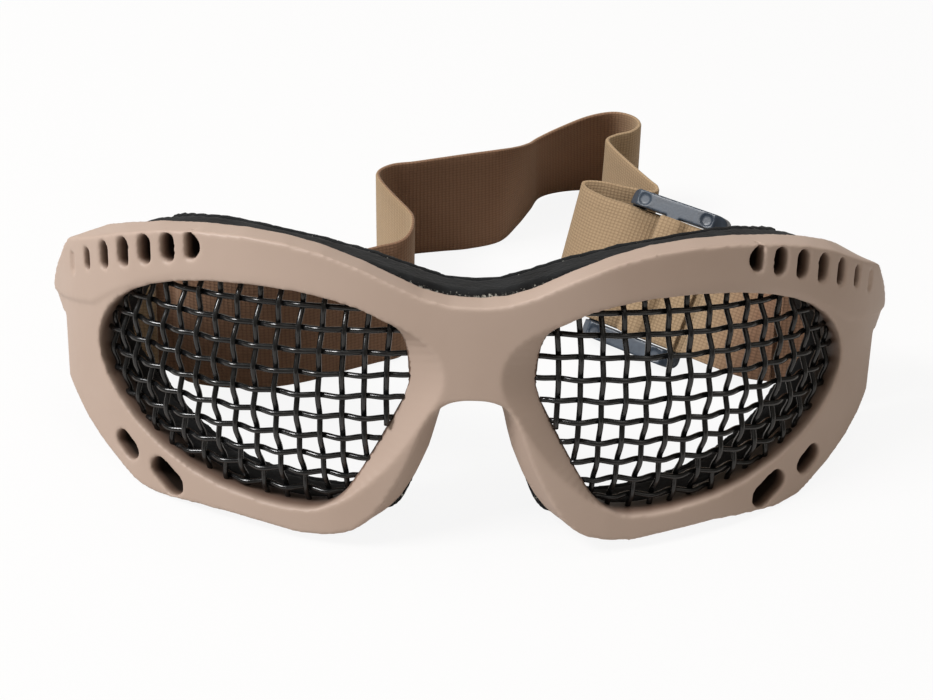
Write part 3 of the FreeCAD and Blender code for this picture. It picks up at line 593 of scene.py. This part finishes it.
def hollow_shade_marks(obj):
    """How deep each place of the frame lies inside a lens opening, a vent or a slot, from 0 to 1, to set
    the painted shade there.
    """
    flat = np.empty(len(obj.data.vertices) * 3)
    obj.data.vertices.foreach_get("co", flat)
    spot = flat.reshape(-1, 3) - np.array(bridge_spot)
    c, s = math.cos(lean_back), math.sin(lean_back)
    x = np.abs(spot[:, 0])
    y, z = spot[:, 1] * c - spot[:, 2] * s, spot[:, 1] * s + spot[:, 2] * c
    facing = np.empty(len(flat))
    obj.data.vertices.foreach_get("normal", facing)
    facing = facing.reshape(-1, 3)
    nx, nz = facing[:, 0] * np.sign(spot[:, 0]), facing[:, 1] * s + facing[:, 2] * c
    ny = facing[:, 1] * c - facing[:, 2] * s
    marks = np.zeros(len(x))
    for mid, level, wide, high, tilt in hole_places():
        turn = math.atan(wrap_slope(mid))
        dx, dy, dz = x - mid, y - wrap_y(mid), z - level
        across = dx * math.cos(turn) + dy * math.sin(turn)
        depth = dy * math.cos(turn) - dx * math.sin(turn)
        u = np.abs(across * math.cos(tilt) - dz * math.sin(tilt)) < wide + hollow_margin
        v = np.abs(across * math.sin(tilt) + dz * math.cos(tilt)) < high + hollow_margin
        share = np.clip((depth - hollow_start) / hollow_depth, 0, 1)
        wall = (nx * math.cos(turn) + ny * math.sin(turn)) * across + nz * dz < 0
        marks = np.maximum(marks, share * (u & v & wall & (depth < 2 * shell_wall)))
    origin, along, outward = lens_axes()
    across = (x - origin.x) * along.x + (y - origin.y) * along.y
    ring = opening(hollow_margin)
    inside = np.zeros(len(x), dtype=bool)
    for k, (a, u) in enumerate(ring):
        b, v = ring[k - 1]
        if u != v:
            hit = ((u > z) != (v > z)) & (across < (b - a) * (z - u) / (v - u) + a)
            inside ^= hit
    inset = np.full(len(x), -shell_wall / 4)
    high = np.full(len(x), 4 * shell_wall)
    back = np.minimum(y, wrap_depth) - wrap_depth
    for step in range(20):
        middle = (inset + high) / 2
        past = np.hypot(x / (half_width - middle), back / (wrap_depth - middle)) > 1
        high = np.where(past, middle, high)
        inset = np.where(past, inset, middle)
    share = np.clip((inset - hollow_start) / throat_depth, 0, 1)
    return np.maximum(marks, share * inside)


def make_frame():
    shell = softened("goggle_frame", "moulded_frame", frame_voxel, frame_rounds)
    # Painted shade marks for the frame's lens openings, vents and slots
    set_values(shell, "hollow_shade", hollow_shade_marks(shell))
    return dressed(shell, "frame", frame_look(), "frame_plastic", "goggle_frame")


def make_foam(node, name, mat, slot_name, joints):
    """A soft copy of a gasket layer, its surface uneven, with its glued joints marked."""
    foam = softened(node, name, foam_voxel, foam_rounds)
    marks = []
    for v in foam.data.vertices:
        inset = wrap_inset(upright(v.co))
        near = min(abs(inset - joint) for joint in joints)
        marks.append(max(0.0, 1 - near / (shell_wall / 8)))
        v.co += v.normal * noise.noise(v.co * foam_rough_grain) * foam_rough
    set_values(foam, "joint", marks)
    dressed(foam, "frame", mat, slot_name, node)
    return foam


# Woven wire lenses

def lens_axes():
    """Origin, across and outward directions of the right lens opening."""
    c, s = math.cos(lens_turn), math.sin(lens_turn)
    return Vector((nose_half_gap, wrap_y(nose_half_gap), 0)), Vector((c, s, 0)), Vector((s, -c, 0))


def lens_crest():
    """How far the wrapped front stands out at the middle of the opening."""
    origin, along, outward = lens_axes()
    low, high = 0.0, wrap_depth / 2
    for step in range(40):
        out = (low + high) / 2
        p = origin + along * mesh_middle + outward * out
        if p.y > wrap_y(p.x):
            low = out
        else:
            high = out
    return low


def arc_radius(half, crown):
    return (half * half + crown * crown) / (2 * crown)


def mesh_place(across, up):
    """A point of the right lens's domed surface, and its outward normal."""
    round_across = arc_radius(mesh_half_span, mesh_crown_across)
    round_up = arc_radius(mesh_half_height, mesh_crown_up)
    a, b = across - mesh_middle, up - mesh_level
    root_a = math.sqrt(round_across ** 2 - a * a)
    root_b = math.sqrt(round_up ** 2 - b * b)
    out = lens_top - mesh_inset - (round_across - root_a) - (round_up - root_b)
    origin, along, outward = lens_axes()
    normal = along * (a / root_a) + Vector((0, 0, b / root_b)) + outward
    return origin + along * across + outward * out + Vector((0, 0, up)), normal.normalized()


def opening(by):
    """The opening's outline moved outwards, or inwards if by is negative, as (across, up) pairs."""
    corners = [[a * lens_span, u * (lens_rise if u > 0 else lens_drop)] for a, u in lens_shares]
    ring = blended(corners, 6, closed=True)
    room = []
    for k, (a, u) in enumerate(ring):
        before, after = ring[k - 1], ring[(k + 1) % len(ring)]
        da, du = after[0] - before[0], after[1] - before[1]
        step = by / math.hypot(da, du)
        room.append((a - step * du, u + step * da))
    return room


def mesh_steps(middle, radius):
    """Numbered wire places at an even pitch along the dome."""
    count = int(radius / mesh_pitch)
    turns = [(k, k * mesh_pitch / radius) for k in range(-count, count + 1)]
    return [(k, middle + radius * math.sin(t)) for k, t in turns if abs(t) < math.pi / 2]


def crossings(outline, place, which):
    """Where a straight line at one place enters and leaves an outline."""
    found = []
    for k, p in enumerate(outline):
        q = outline[(k + 1) % len(outline)]
        if (p[which] - place) * (q[which] - place) < 0:
            share = (place - p[which]) / (q[which] - p[which])
            found.append(p[1 - which] + share * (q[1 - which] - p[1 - which]))
    return (min(found), max(found)) if len(found) > 1 else (0.0, 0.0)


def drift(which, k, place):
    """How far a hand-cut wire strays sideways."""
    spot = Vector((place / mesh_pitch / 3, k * 1.7, which * 9.1))
    return noise.noise(spot) * wire_drift * 2


def wire_path(fixed, others, ends, which):
    """Centre points and normals of one crimped wire: over one crossing and under the next."""
    swing = (wire + weave_play) / 2
    stops = []
    for k, place in others:
        if ends[0] + wire / 2 < place < ends[1] - wire / 2:
            side = 1 if (k + fixed[0]) % 2 == 0 else -1
            stops.append((place, side * swing * (1 if which else -1)))
    if len(stops) < 2:
        return None
    for end, near in ((ends[0], stops[0]), (ends[1], stops[-1])):
        past = min(abs(end - near[0]) / mesh_pitch, 1)
        stop = (end, near[1] * (1 - 2 * past))
        stops = [stop] + stops if end < near[0] else stops + [stop]
    path = []
    for (here, low), (there, high) in zip(stops, stops[1:]):
        for n in range(wire_steps):
            share = n / wire_steps
            ease = (1 - math.cos(math.pi * share)) / 2
            path.append((here + (there - here) * share, low + (high - low) * ease))
    path.append(stops[-1])
    path = [(ends[0] - wire_seat, stops[0][1])] + path + [(ends[1] + wire_seat, stops[-1][1])]
    points = []
    for place, lift in path:
        beside = fixed[1] + drift(which, fixed[0], place)
        spot, normal = mesh_place(place, beside) if which == 0 else mesh_place(beside, place)
        points.append((spot + normal * lift, normal))
    return points


def wire_tube(points, verts, faces, mirror):
    rings = []
    for k, (spot, normal) in enumerate(points):
        along = points[min(k + 1, len(points) - 1)][0] - points[max(k - 1, 0)][0]
        side = normal.cross(along).normalized()
        over = along.cross(side).normalized()
        ring = []
        for n in range(wire_sides):
            turn = 2 * math.pi * n / wire_sides
            p = spot + (over * math.sin(turn) + side * math.cos(turn)) * (wire / 2 + wire_paint)
            ring.append(leaned(Vector((-p.x, p.y, p.z)) if mirror else p))
        rings.append(ring[::-1] if mirror else ring)
    tube_rings(rings, verts, faces)


def make_mesh(which, mat):
    """One set of wires on both sides: 0 for across, 1 for up."""
    room = opening(-wire / 2 - mesh_edge_play)
    columns = mesh_steps(mesh_middle, arc_radius(mesh_half_span, mesh_crown_across))
    rows = mesh_steps(mesh_level, arc_radius(mesh_half_height, mesh_crown_up))
    fixed_set, others = (rows, columns) if which == 0 else (columns, rows)
    low = min(p[1 - which] for p in room) + wire / 2
    high = max(p[1 - which] for p in room) - wire / 2
    for side, mirror in (("right", False), ("left", True)):
        verts, faces = [], []
        for fixed in fixed_set:
            if low < fixed[1] < high:
                ends = crossings(room, fixed[1], 1 - which)
                points = wire_path(fixed, others, ends, which)
                if points:
                    wire_tube(points, verts, faces, mirror)
        kind = ("weft", "warp")[which]
        wires = new_object(f"{side}_{kind}_wires", verts, faces)
        dressed(wires, "frame", mat, "mesh_wire", f"mesh_{side}_{kind}")


# Elastic strap

def webbing(name, sections, start=0.0, light=(0.0, math.inf), both=False):
    """A strap stretch through (middle, width direction) sections, with its size kept as UV.

    Its inner side, or both sides, takes the lit tones only between two distances along it, and painted
    shade tones elsewhere.
    """
    half, thick = strap_width / 2, strap_thick / 2
    flats, turns = 12, 4
    profile = []
    for side in (1, -1):
        for n in range(flats + 1):
            profile.append((side * (2 * n / flats - 1) * (half - thick), side * thick))
        for n in range(1, turns):
            turn = math.pi * n / turns
            profile.append((side * (half - thick + thick * math.sin(turn)), side * thick * math.cos(turn)))
    verts, rings, lit_share = [], [], []
    distance = start
    places = []
    for k, (middle, wide) in enumerate(sections):
        if k:
            distance += (middle - sections[k - 1][0]).length
        along = sections[min(k + 1, len(sections) - 1)][0] - sections[max(k - 1, 0)][0]
        along = (along - wide * along.dot(wide)).normalized()
        out = along.cross(wide).normalized()
        rings.append([middle + wide * a + out * t for a, t in profile])
        # Share of lit tone: 1 between the given distances, fading to painted shade outside them
        inner = min(max(distance - light[0], 0.0), max(light[1] - distance, 0.0), shade_fade) / shade_fade
        lit_share.extend(inner if t > 0 or both else 1.0 for a, t in profile)
        places.extend((a, distance) for a, t in profile)
    faces = []
    tube_rings(rings, verts, faces)
    obj = new_object(name, verts, faces)
    set_values(obj, "lit_share", lit_share)
    uv = obj.data.uv_layers.new(name="strap")
    for loop in obj.data.loops:
        uv.data[loop.index].uv = places[loop.vertex_index]
    obj["length"] = distance - start
    return obj


def lug_path(turn, side):
    """The strap's way round a lug's rear bar, from its rear layer to its front layer."""
    off = (strap_thick + layer_gap) / 2
    wide = lug_thick / 2 + loop_play + strap_thick / 2
    deep = lug_bar / 2 + loop_play + strap_thick / 2
    half = [
        (tail_length, off), ((tail_length + loop_apex) / 2, off), (loop_apex, off),
        (loop_apex * 0.66, deep * 0.48), (wide * 0.9, deep * 0.93), (0.0, deep * 1.03),
        (-wide * 0.84, deep * 0.9), (-wide * 1.06, deep * 0.4),
    ]
    points = half + [(a, -b) for a, b in reversed(half)]
    middle = Vector((half_width - lug_inset - lug_thick / 2, lug_reach - lug_bar / 2, lug_level))
    c, s = math.cos(turn), math.sin(turn)
    found = []
    for a, b in points:
        x, y = a * c - b * s, a * s + b * c
        found.append([leaned(Vector((side * (middle.x - x), middle.y + y, middle.z)))])
    up = leaned(Vector((0, 0, 1))) - leaned(Vector((0, 0, 0)))
    return [(p[0], up) for p in blended(found, 6)]


def run_frame():
    """Directions of the straight run by the slide: along it, up its width, out of its face."""
    along = Vector((math.cos(run_turn), -math.sin(run_turn), 0))
    flat = Vector((math.sin(run_turn), math.cos(run_turn), 0))
    wide = flat * math.sin(run_lean) + Vector((0, 0, math.cos(run_lean)))
    return along, wide, along.cross(wide)


def tail_end(turn, side):
    middle = half_width - lug_inset - lug_thick / 2
    x = middle - tail_length * math.cos(turn)
    y = lug_reach - lug_bar / 2 + tail_length * math.sin(turn)
    return leaned(Vector((side * x, y, lug_level)))


def layer(sections, shift):
    """The sections of one layer, moved out of the strap's face."""
    moved = []
    for k, (spot, wide) in enumerate(sections):
        along = sections[min(k + 1, len(sections) - 1)][0] - sections[max(k - 1, 0)][0]
        along = (along - wide * along.dot(wide)).normalized()
        moved.append((spot + along.cross(wide) * shift, wide.normalized()))
    return moved


def make_strap(mat):
    """The strap from the left lug round the back to the slide, the right lug and back."""
    off = (strap_thick + layer_gap) / 2
    up = leaned(Vector((0, 0, 1))) - leaned(Vector((0, 0, 0)))
    left, right = tail_end(left_tail_turn, -1), tail_end(right_tail_turn, 1)
    axis = (right - left).normalized()
    lug_y = leaned(Vector((0, lug_reach - lug_bar / 2, lug_level))).y
    along, wide, out = run_frame()
    rear = -strap_thick / 2 - slide_play - slide_bar_thick
    height = (strap_width / 2 + slide_play + slide_rail) * wide.z - rear * out.z
    slide_spot = Vector((slide_across_share * half_width, lug_y + slide_back, height))
    base = slide_spot + out * off
    control = [[left + axis * hinge_gap, up], [left + axis * (hinge_gap + 3 * strap_thick), up]]
    for across, back, lift, lean_across, lean_rear in lay_shares:
        direction = Vector((lean_across, lean_rear, 1)).normalized()
        level = lift * strap_width + direction.z * strap_width / 2
        level += strap_thick * math.hypot(lean_across, lean_rear)
        control.append([Vector((across * half_width, lug_y + back * lay_depth, level)), direction])
    reach = slide_length / 2 + run_margin
    stops = (-reach, 0.0, sewn_tail + hinge_gap + run_margin, reach + slide_travel)
    line = [[base + along * s, wide] for s in stops]
    way = blended(control + line[:1], lay_steps)
    ease = blended([line[-2], line[-1], [right - axis * hinge_gap, up]], 5 * lay_steps)[5 * lay_steps:]
    round_left = lug_path(left_tail_turn, -1)[::-1]
    round_right = lug_path(right_tail_turn, 1)
    straight = [(p, w.normalized()) for p, w in line[1:-1] + ease]

    first = layer([(p, w.normalized()) for p, w in way] + [tuple(line[1])], -off)
    # The long run's inner side takes painted shade tones over its first stretch
    main = webbing("strap_long_run", round_left + first, light=(shade_length, math.inf))
    dressed(main, None, mat, "elastic_webbing", "strap_left_loop", "strap_left_run",
            "strap_back_run", "strap_slack_fold")
    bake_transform(main)

    length = main["length"]
    sections = layer(straight, -off) + round_right
    # The lug run takes painted shade on both sides towards and round the right lug
    second = webbing("strap_lug_run", sections, length, (0.0, length + lug_shade), True)
    dressed(second, None, mat, "elastic_webbing", "strap_adjuster_run", "strap_right_loop")
    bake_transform(second)

    sections = layer(straight[1:], off)[::-1]
    # The return run starts in painted shade on both sides at the right lug
    back = webbing("strap_return_run", sections, length, (length + return_shade, math.inf), True)
    dressed(back, "strap", mat, "elastic_webbing", "strap_return")
    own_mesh(back)

    make_sewn_end(mat, slide_spot, along, wide, out)


def make_sewn_end(mat, spot, along, wide, out):
    """The strap's end, looped round the slide's raised bar."""
    step = strap_thick + layer_gap
    bar = step + strap_thick / 2 + slide_play
    over = bar + slide_bar_thick + slide_play + strap_thick / 2
    side = slide_bar / 2 + slide_play + strap_thick / 2
    path = [
        (sewn_tail, 2 * step), (sewn_tail * 0.7, 2 * step), (sewn_apex, 2 * step * 1.04),
        (side, over * 0.93), (side / 2, over), (-side / 2, over), (-side * 0.92, over * 0.86),
        (-side, (over + step) / 2), (-side * 0.92, step * 1.5), (-side / 2, step),
        (side / 2, step), (sewn_tail / 2, step), (sewn_tail + hinge_gap + run_margin, step),
    ]
    points = blended([[spot + along * a + out * b] for a, b in path], 6)
    end = webbing("strap_sewn_tail", [(p[0], wide) for p in points][::-1])
    dressed(end, "slide", mat, "elastic_webbing", "strap_sewn_end")


def make_slide():
    slide = softened("strap_slide", "moulded_slide", slide_voxel, slide_rounds)
    return dressed(slide, "slide", slide_look(), "slide_plastic", "strap_slide")


# Stage

def make_stage():
    corners = [(-1, -1), (1, -1), (1, 1), (-1, 1)]
    verts = [(floor_half * x, floor_half * y, floor_level) for x, y in corners]
    floor = new_object("floor", verts, [(0, 1, 2, 3)], smooth=False)
    mat, tree, shader = look("floor_white", floor_tone, 0.9, Specular_IOR_Level=0.0)
    rays = add(tree, "ShaderNodeLightPath")
    glow = add(tree, "ShaderNodeEmission", {"Color": (1, 1, 1, 1), "Strength": 1.0})
    mix = add(tree, "ShaderNodeMixShader")
    seen = math_node(tree, "MULTIPLY", rays.outputs["Is Camera Ray"], floor_glow)
    tree.links.new(seen, mix.inputs["Fac"])
    tree.links.new(shader.outputs["BSDF"], mix.inputs[1])
    tree.links.new(glow.outputs["Emission"], mix.inputs[2])
    out = next(n for n in tree.nodes if n.type == "OUTPUT_MATERIAL")
    tree.links.new(mix.outputs["Shader"], out.inputs["Surface"])
    floor.data.materials.append(mat)


def make_world():
    world = bpy.data.worlds.new("studio")
    bpy.context.scene.world = world
    world.use_nodes = True
    tree = world.node_tree
    rays = add(tree, "ShaderNodeLightPath")
    plain = next(n for n in tree.nodes if n.type == "BACKGROUND")
    plain.inputs["Color"].default_value = (*room_tone, 1)
    plain.inputs["Strength"].default_value = room_light
    white = add(tree, "ShaderNodeBackground", {"Color": (1, 1, 1, 1), "Strength": 1.0})
    mix = add(tree, "ShaderNodeMixShader")
    seen = math_node(tree, "MAXIMUM", rays.outputs["Is Camera Ray"], rays.outputs["Is Transmission Ray"])
    tree.links.new(seen, mix.inputs["Fac"])
    tree.links.new(plain.outputs["Background"], mix.inputs[1])
    tree.links.new(white.outputs["Background"], mix.inputs[2])
    out = next(n for n in tree.nodes if n.type == "OUTPUT_WORLD")
    tree.links.new(mix.outputs["Shader"], out.inputs["Surface"])


def make_lamp(name, spot, size, power, colour):
    lamp = bpy.data.lights.new(name, "AREA")
    lamp.size = size
    lamp.energy = power
    lamp.color = colour
    obj = bpy.data.objects.new(name, lamp)
    bpy.context.scene.collection.objects.link(obj)
    obj.location = spot
    aim = lamp_aim - Vector(spot)
    obj.rotation_euler = aim.to_track_quat("-Z", "Y").to_euler()


def make_camera():
    """The photograph's viewing angle."""
    forward = Vector(camera_forward).normalized()
    up = Vector(camera_up).normalized()
    right = forward.cross(up)
    lens = bpy.data.cameras.new("camera")
    lens.sensor_width = camera_sensor
    lens.lens = camera_sensor * picture_focus / picture_width
    lens.clip_start = 0.01
    obj = bpy.data.objects.new("camera", lens)
    bpy.context.scene.collection.objects.link(obj)
    turned = Matrix((right, up, -forward)).transposed().to_4x4()
    obj.matrix_world = Matrix.Translation(camera_spot) @ turned
    bpy.context.scene.camera = obj


bpy.context.scene.view_settings.view_transform = "Standard"
lens_top = lens_crest()
make_frame()
foam_black = foam_look("gasket_foam", foam_tones, foam_cells)
make_foam("face_foam", "foam_gasket", foam_black, "gasket_foam", (shell_wall, lining_start))
lining_black = foam_look("face_lining", lining_tones, lining_cells)
make_foam("face_lining", "lining_layer", lining_black, "face_lining", (lining_start,))
black_wire = wire_look()
make_mesh(0, black_wire)
make_mesh(1, black_wire)
make_strap(strap_look())
make_slide()
make_stage()
make_world()
for lamp in lamps:
    make_lamp(*lamp)
make_camera()
